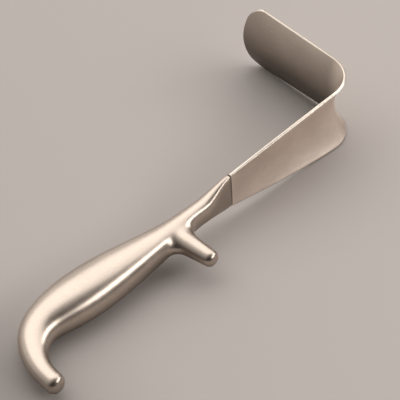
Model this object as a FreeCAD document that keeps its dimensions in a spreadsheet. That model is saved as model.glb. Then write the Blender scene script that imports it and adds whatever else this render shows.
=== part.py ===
import FreeCAD, Part
import math
import os
import Sketcher

# Hand-held retractor: a trough-shaped blade of bent sheet on a forged grip with a finger lug and a hook.
# Design frame: the seam between neck and blade is at X = 0. The shank runs to +X, the blade's tip to +Y,
# and the lug and the hook point to -Y. Z is across the blade. All lengths are in millimetres.

Vector = FreeCAD.Vector

# Names for the sketcher's numbers
START, END, CENTRE = range(1, 4)
X_AXIS = -1
ORIGIN = (-1, 1)

doc = FreeCAD.newDocument("retractor")

# Driving dimensions
dims = doc.addObject("Spreadsheet::Sheet", "dims")
DRIVING = {
    # Blade: width and depth of the trough at its root, bend and end; flare is how early it widens
    "sheet_thickness": 1.5,
    "root_width": 22.5,
    "root_hollow": 1.0,
    "flare": 1.32,
    "bend_width": 40.0,
    "bend_hollow": 6.3,
    "end_width": 43.0,
    "end_hollow": 5.5,
    # Blade: lengths along the middle line of the hollow face
    "shank_length": 72.0,
    "bend_radius": 12.0,
    "bend_angle": 90.0,
    "tip_length": 61.0,
    "corner_radius": 11.0,
    "crown_radius": 60.0,
    # Grip: its middle line, from the seam back to the hook
    "seam_step": 0.45,
    "neck_run": 43.4,
    "rise_run": 13.2,
    "rise_angle": 4.3,
    "palm_run": 50.6,
    "crest_run": 11.9,
    "hook_radius": 25.0,
    "hook_angle": 61.0,
    "tail_run": 23.6,
    "tail_angle": 36.7,
    # Grip: half width in the plane, half thickness across, and fullness of the key sections
    "waist_station": 20.0,
    "waist_half_width": 4.85,
    "waist_half_height": 6.8,
    "swell_station": 97.0,
    "swell_half_width": 13.5,
    "swell_half_height": 11.1,
    "throat_station": 165.0,
    "throat_half_width": 5.2,
    "throat_half_height": 5.6,
    "hook_rounding": 4.0,
    "seam_fullness": 5.0,
    "waist_fullness": 2.6,
    "swell_fullness": 2.2,
    "throat_fullness": 2.0,
    # Finger lug
    "lug_station": 41.0,
    "lug_lean": 5.0,
    "lug_length": 28.8,
    "lug_root_radius": 6.8,
    "lug_tip_radius": 4.2,
    "lug_rounding": 3.7,
    "lug_fillet": 7.5,
}
for row, (alias, value) in enumerate(DRIVING.items(), start=1):
    dims.set(f"A{row}", alias.replace("_", " "))
    dims.set(f"B{row}", str(value))
    dims.setAlias(f"B{row}", alias)
doc.recompute()


def size(alias):
    """A driving dimension as a number."""
    return float(dims.get(alias))


def part_way(start, end, part, power="1"):
    """Expression for a size on its way from start to end, eased into end by a power."""
    return f"dims.{start} + (dims.{end} - dims.{start}) * (1 - {1 - part:.4f} ^ ({power}))"


def plane_of(body, role):
    for feature in body.Origin.OriginFeatures:
        if feature.Role == role:
            return feature


# Blade
blade = doc.addObject("PartDesign::Body", "blade")
blade.Label = "blade"


def trough_section(name, width, hollow, before, turn, after):
    """Sketch of the sheet's section, square to its middle line: two concentric arcs and two radial ends.

    width and hollow are expressions. before and after are expressions for the straight runs on either
    side of the bend, and turn is the share of the bend between them.
    """
    sketch = blade.newObject("Sketcher::SketchObject", name)
    sketch.AttachmentSupport = (plane_of(blade, "YZ_Plane"), "")
    sketch.MapMode = "FlatFace"
    half = size("bend_width") / 2
    depth = size("bend_hollow")
    thick = size("sheet_thickness")
    radius = (half ** 2 + depth ** 2) / (2 * depth)
    spread = math.asin(half / radius)
    centre = Vector(-radius, 0, 0)

    def at(distance, angle):
        return centre + Vector(distance * math.cos(angle), distance * math.sin(angle), 0)

    axis = Vector(0, 0, 1)
    hollow_circle = Part.Circle(centre, axis, radius)
    full_circle = Part.Circle(centre, axis, radius + thick)
    hollow_arc = sketch.addGeometry(Part.ArcOfCircle(hollow_circle, -spread, spread))
    full_arc = sketch.addGeometry(Part.ArcOfCircle(full_circle, -spread, spread))
    low = sketch.addGeometry(Part.LineSegment(at(radius, -spread), at(radius + thick, -spread)))
    high = sketch.addGeometry(Part.LineSegment(at(radius, spread), at(radius + thick, spread)))
    for constraint in (
        Sketcher.Constraint("Coincident", hollow_arc, CENTRE, full_arc, CENTRE),
        Sketcher.Constraint("PointOnObject", hollow_arc, CENTRE, X_AXIS),
        Sketcher.Constraint("Coincident", low, START, hollow_arc, START),
        Sketcher.Constraint("Coincident", low, END, full_arc, START),
        Sketcher.Constraint("Coincident", high, START, hollow_arc, END),
        Sketcher.Constraint("Coincident", high, END, full_arc, END),
        Sketcher.Constraint("PointOnObject", hollow_arc, CENTRE, low),
        Sketcher.Constraint("PointOnObject", hollow_arc, CENTRE, high),
        Sketcher.Constraint("Vertical", hollow_arc, START, hollow_arc, END),
    ):
        sketch.addConstraint(constraint)
    curve = f"((({width}) / 2)^2 + ({hollow})^2) / (2 * ({hollow}))"
    driven = (
        (Sketcher.Constraint("DistanceY", hollow_arc, START, hollow_arc, END, 2 * half), width),
        (Sketcher.Constraint("Radius", hollow_arc, radius), curve),
        (Sketcher.Constraint("Radius", full_arc, radius + thick), f"{curve} + dims.sheet_thickness"),
        (Sketcher.Constraint("DistanceX", hollow_arc, CENTRE, *ORIGIN, radius), curve),
    )
    for constraint, expression in driven:
        bind(sketch, constraint, expression)
    place_sketch(sketch, before, turn, after)
    return sketch


def bind(sketch, constraint, expression):
    """Adds a constraint that takes its value from the sheet."""
    index = sketch.addConstraint(constraint)
    sketch.setExpression(f"Constraints[{index}]", expression)


def place_sketch(sketch, before, turn, after):
    """Moves a sketch along the blade's middle line and turns it with the bend."""
    angle = f"dims.bend_angle * {turn}"
    sketch.AttachmentOffset = FreeCAD.Placement(Vector(), FreeCAD.Rotation(Vector(0, 1, 0), 1))
    sketch.setExpression("AttachmentOffset.Rotation.Angle", angle)
    sketch.setExpression("AttachmentOffset.Base.x",
                         f"dims.bend_radius * (1 - cos({angle})) + ({after}) * sin({angle})")
    sketch.setExpression("AttachmentOffset.Base.z",
                         f"({before}) + dims.bend_radius * sin({angle}) + ({after}) * cos({angle})")


# The shank widens and deepens towards the bend
SHANK_STEPS = 5
shank_sections = []
for step in range(SHANK_STEPS + 1):
    part = step / SHANK_STEPS
    shank_sections.append(trough_section(
        f"shank_section_{step}",
        part_way("root_width", "bend_width", part, "dims.flare"),
        part_way("root_hollow", "bend_hollow", part, "dims.flare"),
        f"dims.shank_length * {part}", 0, "0"))
shank = blade.newObject("PartDesign::AdditiveLoft", "shank")
shank.Profile = shank_sections[0]
shank.Sections = shank_sections[1:]
shank.Ruled = False

# The bend keeps the section that the shank ends with
BEND_SIZES = ("dims.bend_width", "dims.bend_hollow")
bend_section = trough_section("bend_section", *BEND_SIZES, "dims.shank_length", 0, "0")
bend_axis = blade.newObject("PartDesign::Line", "bend_axis")
bend_axis.AttachmentSupport = (plane_of(blade, "XY_Plane"), "")
bend_axis.MapMode = "ObjectZ"
bend_axis.setExpression("AttachmentOffset.Base.x", "dims.shank_length")
bend_axis.setExpression("AttachmentOffset.Base.y", "dims.bend_radius")
bend = blade.newObject("PartDesign::Revolution", "bend")
bend.Profile = bend_section
bend.ReferenceAxis = (bend_axis, [""])
bend.setExpression("Angle", "dims.bend_angle")

# The tip runs straight on from the bend
END_SIZES = ("dims.end_width", "dims.end_hollow")
tip_start = trough_section("tip_start", *BEND_SIZES, "dims.shank_length", 1, "0")
tip_finish = trough_section("tip_finish", *END_SIZES, "dims.shank_length", 1, "dims.tip_length")
tip = blade.newObject("PartDesign::AdditiveLoft", "tip")
tip.Profile = tip_start
tip.Sections = [tip_finish]
tip.Ruled = True
doc.recompute()

# The blade's end: a flat crown between two round corners, cut square to the sheet. The corners run out
# just clear of the sheet's outer edges
end_sketch = blade.newObject("Sketcher::SketchObject", "end_outline")
end_sketch.AttachmentSupport = (plane_of(blade, "YZ_Plane"), "")
end_sketch.MapMode = "FlatFace"
end_sketch.AttachmentOffset = FreeCAD.Placement(Vector(), FreeCAD.Rotation(Vector(0, 1, 0), 1))
end_sketch.setExpression("AttachmentOffset.Rotation.Angle", "dims.bend_angle - 90")
end_sketch.setExpression("AttachmentOffset.Base.x", "dims.bend_radius * (1 - cos(dims.bend_angle))")
end_sketch.setExpression("AttachmentOffset.Base.z",
                         "dims.shank_length + dims.bend_radius * sin(dims.bend_angle)")

tip_end = size("tip_length")
half_end = size("end_width") / 2 + size("sheet_thickness") / 3
corner, crown = size("corner_radius"), size("crown_radius")
crown_centre = tip_end - crown
corner_side = half_end - corner
corner_along = crown_centre + math.sqrt((crown - corner) ** 2 - corner_side ** 2)
lean = math.asin(corner_side / (crown - corner))
quarter_turn = math.pi / 2
margin = 2 * half_end


def outline_arc(along, side, radius, start, end):
    circle = Part.Circle(Vector(along, side, 0), Vector(0, 0, 1), radius)
    return end_sketch.addGeometry(Part.ArcOfCircle(circle, start, end))


def outline_line(start, end):
    return end_sketch.addGeometry(Part.LineSegment(Vector(*start, 0), Vector(*end, 0)))


crown_arc = outline_arc(crown_centre, 0, crown, -lean, lean)
upper_arc = outline_arc(corner_along, corner_side, corner, lean, quarter_turn)
lower_arc = outline_arc(corner_along, -corner_side, corner, -quarter_turn, -lean)
upper_side = outline_line((corner_along, half_end), (corner_along, margin))
upper_run = outline_line((corner_along, margin), (tip_end + margin, margin))
far_side = outline_line((tip_end + margin, margin), (tip_end + margin, -margin))
lower_run = outline_line((tip_end + margin, -margin), (corner_along, -margin))
lower_side = outline_line((corner_along, -margin), (corner_along, -half_end))
for constraint in (
    Sketcher.Constraint("Tangent", crown_arc, END, upper_arc, START),
    Sketcher.Constraint("Tangent", lower_arc, END, crown_arc, START),
    Sketcher.Constraint("Coincident", upper_side, START, upper_arc, END),
    Sketcher.Constraint("Coincident", upper_side, END, upper_run, START),
    Sketcher.Constraint("Coincident", upper_run, END, far_side, START),
    Sketcher.Constraint("Coincident", far_side, END, lower_run, START),
    Sketcher.Constraint("Coincident", lower_run, END, lower_side, START),
    Sketcher.Constraint("Coincident", lower_side, END, lower_arc, START),
    Sketcher.Constraint("PointOnObject", crown_arc, CENTRE, X_AXIS),
    Sketcher.Constraint("Equal", upper_arc, lower_arc),
    Sketcher.Constraint("Vertical", upper_arc, CENTRE, lower_arc, CENTRE),
    Sketcher.Constraint("Vertical", upper_arc, CENTRE, upper_arc, END),
    Sketcher.Constraint("Vertical", lower_arc, CENTRE, lower_arc, START),
    Sketcher.Constraint("Vertical", upper_side),
    Sketcher.Constraint("Horizontal", upper_run),
    Sketcher.Constraint("Vertical", far_side),
    Sketcher.Constraint("Horizontal", lower_run),
    Sketcher.Constraint("Vertical", lower_side),
):
    end_sketch.addConstraint(constraint)
HALF_END = "dims.end_width / 2 + dims.sheet_thickness / 3"
for constraint, expression in (
    (Sketcher.Constraint("Radius", crown_arc, crown), "dims.crown_radius"),
    (Sketcher.Constraint("Radius", upper_arc, corner), "dims.corner_radius"),
    (Sketcher.Constraint("DistanceX", *ORIGIN, crown_arc, CENTRE, crown_centre),
     "dims.tip_length - dims.crown_radius"),
    (Sketcher.Constraint("DistanceY", *ORIGIN, upper_arc, END, half_end), HALF_END),
    (Sketcher.Constraint("DistanceY", *ORIGIN, upper_run, START, margin), f"2 * ({HALF_END})"),
    (Sketcher.Constraint("DistanceY", lower_run, END, *ORIGIN, margin), f"2 * ({HALF_END})"),
    (Sketcher.Constraint("DistanceX", *ORIGIN, far_side, START, tip_end + margin),
     f"dims.tip_length + 2 * ({HALF_END})"),
):
    bind(end_sketch, constraint, expression)
end_cut = blade.newObject("PartDesign::Pocket", "end_cut")
end_cut.Profile = end_sketch
end_cut.Type = "Length"
end_cut.Midplane = True
end_cut.setExpression("Length", "4 * (dims.end_hollow + dims.sheet_thickness)")
blade.Tip = end_cut
doc.recompute()


# Grip: its middle line runs back from the seam, rises into the palm swell and turns down into the hook
RUNS = (
    (size("neck_run"), 0),
    (size("rise_run"), -size("rise_angle")),
    (size("palm_run"), 0),
    (size("crest_run"), size("rise_angle")),
    (size("hook_radius") * math.radians(size("hook_angle")), size("hook_angle")),
    (size("tail_run"), size("tail_angle")),
)
GRIP_LENGTH = sum(length for length, turn in RUNS)
NECK_CENTRE = size("sheet_thickness") / 2 - size("root_hollow") / 2


def grip_heading(station):
    """How far the middle line has turned towards the hook, in radians, at a distance from the seam."""
    heading = 0.0
    for length, turn in RUNS:
        share = min(max(station / length, 0), 1)
        heading += math.radians(turn) * share
        station -= length
    return heading


def grip_point(station, steps=100):
    """Point of the middle line at a distance from the seam, added up in short straight steps."""
    point = Vector(0, NECK_CENTRE, 0)
    pace = station / steps
    for step in range(steps):
        heading = grip_heading((step + 0.5) * pace)
        point += Vector(-math.cos(heading), -math.sin(heading), 0) * pace
    return point


def eased(station, keys):
    """Value at a station, passing level through each key section."""
    for (start, low), (end, high) in zip(keys, keys[1:]):
        if station <= end:
            part = (station - start) / (end - start)
            return low + (high - low) * part * part * (3 - 2 * part)
    return keys[-1][1]


def keys_of(at_seam, suffix):
    """The key sections' values from seam to hook, as (station, value)."""
    keys = [(0.0, at_seam)]
    for name in ("waist", "swell", "throat"):
        keys.append((size(f"{name}_station"), size(f"{name}_{suffix}")))
    return keys


HALF_WIDTHS = keys_of((size("sheet_thickness") + size("root_hollow")) / 2 + size("seam_step"), "half_width")
HALF_HEIGHTS = keys_of(size("root_width") / 2, "half_height")
FULLNESS = keys_of(size("seam_fullness"), "fullness")
RING_POINTS = 12
NECK_SPANS = 3
PALM_SPANS = 11


def grip_ring(station):
    """Closed section of the grip, square to its middle line: an oval, flatter-sided towards the seam."""
    centre = grip_point(station)
    heading = grip_heading(station)
    across = Vector(-math.sin(heading), math.cos(heading), 0)
    width = eased(station, HALF_WIDTHS)
    height = eased(station, HALF_HEIGHTS)
    fullness = eased(station, FULLNESS)
    points = []
    for index in range(RING_POINTS):
        angle = 2 * math.pi * (index + 0.5) / RING_POINTS
        side, up = math.cos(angle), math.sin(angle)
        reach = (abs(side) ** fullness + abs(up) ** fullness) ** (-1 / fullness)
        points.append(centre + across * (side * reach * width) + Vector(0, 0, up * reach * height))
    marks = [index / RING_POINTS for index in range(RING_POINTS + 1)]
    curve = Part.BSplineCurve()
    curve.interpolate(Points=points, PeriodicFlag=True, Parameters=marks)
    return Part.Wire([curve.toShape()])


def grip_stretch(start, end, spans):
    """Smooth solid through evenly spaced rings from one station to another."""
    rings = [grip_ring(start + (end - start) * index / spans) for index in range(spans + 1)]
    return Part.makeLoft(rings, True, False)


neck = grip_stretch(0, size("waist_station"), NECK_SPANS)
palm_and_hook = grip_stretch(size("waist_station"), GRIP_LENGTH, PALM_SPANS)
grip = doc.addObject("Part::Feature", "grip")
grip.Shape = neck.fuse(palm_and_hook)

# The finger lug is a tapered peg, leaning a little towards the blade
lug = doc.addObject("Part::Cone", "lug")
lug.setExpression("Radius1", "dims.lug_root_radius")
lug.setExpression("Radius2", "dims.lug_tip_radius")
lug.setExpression("Height", "dims.lug_length")
lug.Placement = FreeCAD.Placement(
    Vector(-size("lug_station"), NECK_CENTRE, 0),
    FreeCAD.Rotation(Vector(0, 0, 1), size("lug_lean")) * FreeCAD.Rotation(Vector(1, 0, 0), 90))
joined = doc.addObject("Part::Fuse", "grip_and_lug")
joined.Base = grip
joined.Tool = lug
doc.recompute()


# An edge whose middle is nearer than this to the line where two solids meet lies on that line
TOUCHING = 0.01


def nearest_edge(shape, point):
    """Number of the edge that comes closest to a point."""
    spot = Part.Vertex(point)
    numbers = range(1, len(shape.Edges) + 1)
    return min(numbers, key=lambda number: shape.Edges[number - 1].distToShape(spot)[0])


def seam_edges(shape, one, other):
    """Numbers of the edges where two fused solids meet."""
    seam = one.section(other)
    found = []
    for number, edge in enumerate(shape.Edges, start=1):
        middle = edge.valueAt((edge.FirstParameter + edge.LastParameter) / 2)
        if seam.distToShape(Part.Vertex(middle))[0] < TOUCHING:
            found.append(number)
    return found


lug_end = lug.Placement.multVec(Vector(-size("lug_tip_radius"), 0, size("lug_length")))
hook_end = grip_point(GRIP_LENGTH) + Vector(0, 0, size("throat_half_height"))
roundings = (
    (seam_edges(joined.Shape, grip.Shape, lug.Shape), size("lug_fillet")),
    ([nearest_edge(joined.Shape, lug_end)], size("lug_rounding")),
    ([nearest_edge(joined.Shape, hook_end)], size("hook_rounding")),
)
handle = doc.addObject("Part::Fillet", "handle")
handle.Label = "handle"
handle.Base = joined
handle.Edges = [(number, radius, radius) for numbers, radius in roundings for number in numbers]
doc.recompute()


# The search for the resting plane: its steepest slope, how often it narrows down, and how finely the
# surfaces are cut into points
STEEPEST = 0.3
ROUNDS = 30
FINENESS = 0.2


def resting_placement(shapes):
    """Placement that rests the shapes, as one body, on the ground with the box's bottom centre at the origin.

    The supporting plane under the centre of mass is the one that holds it up highest while every point
    stays on or above the plane, so two nested searches over its slopes find it.
    """
    solids = [solid for shape in shapes for solid in shape.Solids]
    centre = Vector()
    for solid in solids:
        centre += solid.CenterOfMass * (solid.Volume / sum(each.Volume for each in solids))
    points = [point - centre for shape in shapes for point in shape.tessellate(FINENESS)[0]]

    def height(slopes, among):
        return min(point.z - slopes[0] * point.x - slopes[1] * point.y for point in among)

    def best(function):
        start, end = -STEEPEST, STEEPEST
        for _ in range(ROUNDS):
            third = (end - start) / 3
            if function(start + third) < function(end - third):
                start += third
            else:
                end -= third
        return (start + end) / 2

    def highest_plane(among):
        def second(first):
            return best(lambda slope: height((first, slope), among))
        first = best(lambda slope: height((slope, second(slope)), among))
        return first, second(first)

    supports = [pick(points, key=key) for pick in (min, max) for key in (lambda p: p.x, lambda p: p.y)]
    while True:
        slope_x, slope_y = highest_plane(supports)
        lowest = min(points, key=lambda p: p.z - slope_x * p.x - slope_y * p.y)
        if lowest in supports:
            break
        supports.append(lowest)
    turn = FreeCAD.Rotation(Vector(-slope_x, -slope_y, 1), Vector(0, 0, 1))
    laid = [turn.multVec(point) for point in points]
    corner = Vector(
        (min(p.x for p in laid) + max(p.x for p in laid)) / 2,
        (min(p.y for p in laid) + max(p.y for p in laid)) / 2,
        min(p.z for p in laid))
    return FreeCAD.Placement(-corner - turn.multVec(centre), turn)


rest = resting_placement([blade.Shape, handle.Shape])
blade.Placement = rest
handle.Placement = rest
doc.recompute()

for feature in doc.Objects:
    if "Invalid" in feature.State or "Error" in feature.State:
        raise RuntimeError(f"{feature.Name} failed: {feature.State}")
os.makedirs("parts", exist_ok=True)
for node in (blade, handle):
    if node.Shape.isNull() or not node.Shape.isValid():
        raise RuntimeError(f"{node.Label} has no valid shape")
    node.Shape.exportStep(f"parts/{node.Label}.step")
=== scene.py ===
import math

import bpy
from mathutils import Matrix, Vector

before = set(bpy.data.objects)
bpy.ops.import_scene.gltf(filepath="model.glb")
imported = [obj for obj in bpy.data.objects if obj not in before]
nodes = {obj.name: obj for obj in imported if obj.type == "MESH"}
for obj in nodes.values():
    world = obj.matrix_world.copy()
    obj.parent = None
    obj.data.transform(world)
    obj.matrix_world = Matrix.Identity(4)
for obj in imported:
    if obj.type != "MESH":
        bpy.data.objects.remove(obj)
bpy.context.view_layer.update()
scene = bpy.context.scene

# Camera: where it looks, from how far, and how it is turned, in the object's own frame
CAMERA_TARGET = Vector((0.01432, -0.01467, 0.01597))
CAMERA_DISTANCE = 1.330
CAMERA_AZIMUTH = math.radians(-43.82)
CAMERA_ELEVATION = math.radians(46.15)
CAMERA_ROLL = math.radians(-0.68)
CAMERA_LENS = 235.58
SENSOR_WIDTH = 36

camera = bpy.data.objects.new("camera", bpy.data.cameras.new("camera"))
scene.collection.objects.link(camera)
back = Vector((
    math.sin(CAMERA_AZIMUTH) * math.cos(CAMERA_ELEVATION),
    -math.cos(CAMERA_AZIMUTH) * math.cos(CAMERA_ELEVATION),
    math.sin(CAMERA_ELEVATION)))
level = Vector((math.cos(CAMERA_AZIMUTH), math.sin(CAMERA_AZIMUTH), 0))
upright = back.cross(level)
right = level * math.cos(CAMERA_ROLL) + upright * math.sin(CAMERA_ROLL)
up = upright * math.cos(CAMERA_ROLL) - level * math.sin(CAMERA_ROLL)
turn = Matrix((right, up, back)).transposed().to_4x4()
camera.matrix_world = Matrix.Translation(CAMERA_TARGET + back * CAMERA_DISTANCE) @ turn
camera.data.lens = CAMERA_LENS
camera.data.sensor_width = SENSOR_WIDTH
camera.data.clip_start = 0.05
camera.data.clip_end = 20
scene.camera = camera

# Level directions of the studio: away from the camera, and to the camera's right
AWAY = Vector((-back.x, -back.y, 0)).normalized()
SIDE = Vector((AWAY.y, -AWAY.x, 0))
UP = Vector((0, 0, 1))


def spot(forward, sideways, height):
    """A place given from the object's middle: away from the camera, to the camera's right, and up."""
    return AWAY * forward + SIDE * sideways + UP * height


def empty_tree(owner):
    """Clear the nodes of a material or world, and return its ways to add a node and a link."""
    owner.use_nodes = True
    owner.node_tree.nodes.clear()
    return owner.node_tree.nodes.new, owner.node_tree.links.new


def vector_math(node, link, operation, value, constant):
    """Number from an output and a constant vector."""
    made = node("ShaderNodeVectorMath")
    made.operation = operation
    made.inputs[1].default_value = constant
    link(value, made.inputs[0])
    return made.outputs["Value"]


def map_range(node, link, value, start, end, low=0.0, high=1.0, interpolation="LINEAR"):
    """Value taken from the span start to end over to the span low to high, and held there."""
    made = node("ShaderNodeMapRange")
    made.interpolation_type = interpolation
    for name, number in (("From Min", start), ("From Max", end), ("To Min", low), ("To Max", high)):
        made.inputs[name].default_value = number
    link(value, made.inputs["Value"])
    return made.outputs["Result"]


def mix_colours(node, link, share, first, second, blend="MIX"):
    """Blend of two colours. The share and each colour are a constant or an output."""
    made = node("ShaderNodeMix")
    made.data_type = "RGBA"
    made.blend_type = blend
    for name, value in (("Factor", share), ("A", first), ("B", second)):
        if isinstance(value, (float, tuple)):
            made.inputs[name].default_value = value
        else:
            link(value, made.inputs[name])
    return made.outputs["Result"]


# Floor, with a painted shadow that makes it a little dimmer towards the near left corner of the
# picture
FLOOR_SIZE = 12
FLOOR_COLOUR = (0.428, 0.388, 0.366, 1)
PAINTED_SHADOW_COLOUR = (0.20, 0.18, 0.17, 1)
PAINTED_SHADOW_SPOT = spot(-0.17, -0.13, 0)
PAINTED_SHADOW_REACH = 0.16

bpy.ops.mesh.primitive_plane_add(size=FLOOR_SIZE, location=(0, 0, 0))
floor = bpy.context.object
floor.name = "floor"
floor_paint = bpy.data.materials.new("floor")
node, link = empty_tree(floor_paint)
place = node("ShaderNodeTexCoord")
# Painted shadow: the floor colour darkens towards a spot near the left corner and fades out over its
# reach
gap = vector_math(node, link, "DISTANCE", place.outputs["Object"], PAINTED_SHADOW_SPOT)
painted_shadow_share = map_range(node, link, gap, 0.0, PAINTED_SHADOW_REACH, interpolation="SMOOTHSTEP")
shader = node("ShaderNodeBsdfPrincipled")
shader.inputs["Roughness"].default_value = 0.8
shader.inputs["Specular IOR Level"].default_value = 0.2
out = node("ShaderNodeOutputMaterial")
link(mix_colours(node, link, painted_shadow_share, PAINTED_SHADOW_COLOUR, FLOOR_COLOUR), shader.inputs["Base Color"])
link(shader.outputs[0], out.inputs["Surface"])
floor.data.materials.append(floor_paint)

# Soft studio light: a wide bank overhead and beyond the object, and a strip on the right.
# Each lamp has a place, a point that it faces, a width, a height and a power.
LAMP_COLOUR = (1, 0.985, 0.965)
LAMPS = {
    "bank": (spot(0.65, -0.1, 1.15), Vector((0, 0, 0)), 3.0, 1.5, 18.2),
    "strip": (spot(-0.15, 1.1, 0.72), Vector((0, 0, 0.02)), 1.6, 0.4, 10.0),
}
for name, (stand, aim, width, height, power) in LAMPS.items():
    light = bpy.data.lights.new(name, "AREA")
    light.shape = "RECTANGLE"
    light.size = width
    light.size_y = height
    light.energy = power
    light.color = LAMP_COLOUR
    lamp = bpy.data.objects.new(name, light)
    scene.collection.objects.link(lamp)
    lamp.location = stand
    lamp.rotation_mode = "QUATERNION"
    lamp.rotation_quaternion = (stand - aim).to_track_quat("Z", "Y")

# The room: bright beyond the object and on its left, dark on the right and on the camera's side
BRIGHT_SIDE = (UP * 0.5 + AWAY * 0.6 - SIDE * 0.5).normalized()
DARK_ROOM = (0.05, (0.03, 0.027, 0.025, 1))
BRIGHT_ROOM = (0.75, (0.85, 0.83, 0.80, 1))
BACKDROP = (0.6, 0.58, 0.56, 1)

world = bpy.data.worlds.new("studio")
scene.world = world
node, link = empty_tree(world)
direction = node("ShaderNodeTexCoord")
lean = vector_math(node, link, "DOT_PRODUCT", direction.outputs["Generated"], BRIGHT_SIDE)
ramp = node("ShaderNodeValToRGB")
for stop, (position, colour) in zip(ramp.color_ramp.elements, (DARK_ROOM, BRIGHT_ROOM)):
    stop.position = position
    stop.color = colour
sky = node("ShaderNodeBackground")
pale = node("ShaderNodeBackground")
pale.inputs["Color"].default_value = BACKDROP
rays = node("ShaderNodeLightPath")
pick = node("ShaderNodeMixShader")
out = node("ShaderNodeOutputWorld")
link(lean, ramp.inputs["Fac"])
link(ramp.outputs["Color"], sky.inputs["Color"])
link(rays.outputs["Is Camera Ray"], pick.inputs["Fac"])
link(sky.outputs[0], pick.inputs[1])
link(pale.outputs[0], pick.inputs[2])
link(pick.outputs[0], out.inputs["Surface"])

# The dark hairline where neck and blade meet: its plane's normal and distance from the origin,
# half its width, and its colour
SEAM_NORMAL = (0.99843, -0.00008, 0.05603)
SEAM_AT = 0.0302
SEAM_HALF_WIDTH = 0.0003
SEAM_COLOUR = (0.14, 0.115, 0.10, 1)

# Steel: the span of noise that matters, how far roughness and shade stray with it, the size of the
# clouding, and the height of the grain
NOISE_LOW, NOISE_HIGH = 0.3, 0.7
SMOOTHER, ROUGHER = 0.04, 0.05
DARKER, LIGHTER = 0.88, 1.10
CLOUD_SCALE = 60.0
GRAIN_STRENGTH, GRAIN_HEIGHT = 0.02, 0.0002
EDGE_SAMPLES = 16

# The way to the handle from the blade's bent part, and how much colour the painted shade leaves low on
# those faces
BACKWARD = (-0.7071, 0.7071, 0)
PAINTED_SHADE_LOW_SHARE = 0.3


def noise(node, link, coordinates, scale, detail):
    """Noise texture over the given coordinates."""
    made = node("ShaderNodeTexNoise")
    made.inputs["Scale"].default_value = scale
    made.inputs["Detail"].default_value = detail
    link(coordinates, made.inputs["Vector"])
    return made.outputs["Fac"]


def arithmetic(node, link, operation, value, other):
    """Number from an output and either a constant or another output."""
    made = node("ShaderNodeMath")
    made.operation = operation
    link(value, made.inputs[0])
    if isinstance(other, float):
        made.inputs[1].default_value = other
    else:
        link(other, made.inputs[1])
    return made


def facing_share(node, link, normal, direction, start, end):
    """How far a surface looks in a direction, from 0 at one lean of its normal to 1 at another."""
    return map_range(node, link, vector_math(node, link, "DOT_PRODUCT", normal, direction), start, end)


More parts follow.
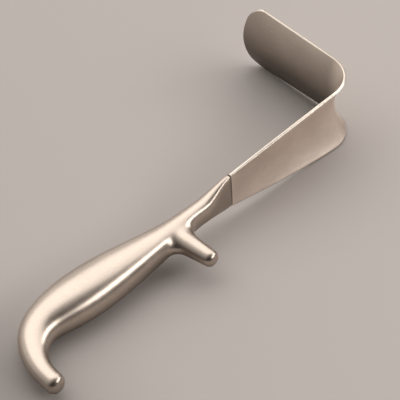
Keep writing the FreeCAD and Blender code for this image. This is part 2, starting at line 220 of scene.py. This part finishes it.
def steel(name, colour, roughness, grain, edge, drawn=0.0, painted_shade_back=None, painted_highlight_up=None, painted_shade_under=None):
    """Satin steel with a fine grain and faint clouding.

    edge is the radius that edges are softened to, and drawn is how strongly light spreads across the
    grain, which runs level round the piece. inner is a painted shade, the duller colour of faces that
    look back at the handle, darker still where they look down. worn is a painted highlight, the bright
    colour of edges that look up, and under is a painted shade, the duller colour of the underside.
    """
    material = bpy.data.materials.new(name)
    node, link = empty_tree(material)
    shader = node("ShaderNodeBsdfPrincipled")
    shader.inputs["Metallic"].default_value = 1
    shader.inputs["Anisotropic"].default_value = drawn
    shader.inputs["Anisotropic Rotation"].default_value = 0.25

    # Grain and clouds, which vary roughness and shade together
    place = node("ShaderNodeTexCoord")
    stretch = node("ShaderNodeMapping")
    stretch.inputs["Scale"].default_value = grain
    link(place.outputs["Object"], stretch.inputs["Vector"])
    streaks = noise(node, link, stretch.outputs["Vector"], 1.0, 4.0)
    clouds = noise(node, link, place.outputs["Object"], CLOUD_SCALE, 3.0)
    both = arithmetic(node, link, "ADD", streaks, clouds).outputs[0]
    half = arithmetic(node, link, "MULTIPLY", both, 0.5).outputs[0]
    rough = map_range(
        node, link, half, NOISE_LOW, NOISE_HIGH, roughness - SMOOTHER, roughness + ROUGHER)
    link(rough, shader.inputs["Roughness"])
    shade = map_range(node, link, half, NOISE_LOW, NOISE_HIGH, DARKER, LIGHTER)

    # Colour by the way that a face looks: painted shade on faces that look back at the handle and on
    # the underside, a painted highlight on faces that look up; then the hairline of the joint
    surface = node("ShaderNodeNewGeometry")
    flat = surface.outputs["True Normal"]
    whole = (*colour, 1)
    # Painted shade: faces that look back at the handle get a duller colour, duller still where they
    # look down
    if painted_shade_back:
        painted_shade_back_low = (*[PAINTED_SHADE_LOW_SHARE * part for part in painted_shade_back], 1)
        high = facing_share(node, link, flat, UP, -0.2, 0.5)
        backward = facing_share(node, link, flat, BACKWARD, -0.3, 0.3)
        shaded = mix_colours(node, link, high, painted_shade_back_low, (*painted_shade_back, 1))
        whole = mix_colours(node, link, backward, whole, shaded)
    # Painted highlight: faces that look up get a brighter colour
    if painted_highlight_up:
        upward = facing_share(node, link, flat, UP, 0.6, 0.75)
        whole = mix_colours(node, link, upward, whole, (*painted_highlight_up, 1))
    # Painted shade: faces that look down get a duller colour
    if painted_shade_under:
        raised = facing_share(node, link, surface.outputs["Normal"], UP, -0.35, 0.3)
        whole = mix_colours(node, link, raised, (*painted_shade_under, 1), whole)
    across = vector_math(node, link, "DOT_PRODUCT", surface.outputs["Position"], SEAM_NORMAL)
    crevice = arithmetic(node, link, "COMPARE", across, SEAM_AT)
    crevice.inputs[2].default_value = SEAM_HALF_WIDTH
    whole = mix_colours(node, link, crevice.outputs[0], whole, SEAM_COLOUR)
    link(mix_colours(node, link, 1.0, whole, shade, "MULTIPLY"), shader.inputs["Base Color"])

    # Softened edges, the height of the grain, and the way that it runs
    round_edge = node("ShaderNodeBevel")
    round_edge.samples = EDGE_SAMPLES
    round_edge.inputs["Radius"].default_value = edge
    bump = node("ShaderNodeBump")
    bump.inputs["Strength"].default_value = GRAIN_STRENGTH
    bump.inputs["Distance"].default_value = GRAIN_HEIGHT
    flow = node("ShaderNodeTangent")
    flow.direction_type = "RADIAL"
    flow.axis = "Z"
    out = node("ShaderNodeOutputMaterial")
    link(streaks, bump.inputs["Height"])
    link(round_edge.outputs["Normal"], bump.inputs["Normal"])
    link(bump.outputs["Normal"], shader.inputs["Normal"])
    link(flow.outputs["Tangent"], shader.inputs["Tangent"])
    link(shader.outputs[0], out.inputs["Surface"])
    return material


# The blade gets painted shade on faces that look back at the handle and a painted highlight on edges
# that look up; the handle gets painted shade on its underside
FINISHES = {
    "blade": steel(
        "blade_steel", (0.68, 0.573, 0.495), 0.40, (250, 2500, 2500), edge=0.0010, drawn=0.75,
        painted_shade_back=(0.55, 0.465, 0.395), painted_highlight_up=(0.80, 0.71, 0.62)),
    "handle": steel(
        "handle_steel", (0.54, 0.455, 0.39), 0.31, (400, 1600, 1600), edge=0.0035,
        painted_shade_under=(0.34, 0.275, 0.225)),
}
for name, finish in FINISHES.items():
    nodes[name].data.materials.clear()
    nodes[name].data.materials.append(finish)

scene.view_settings.view_transform = "Standard"
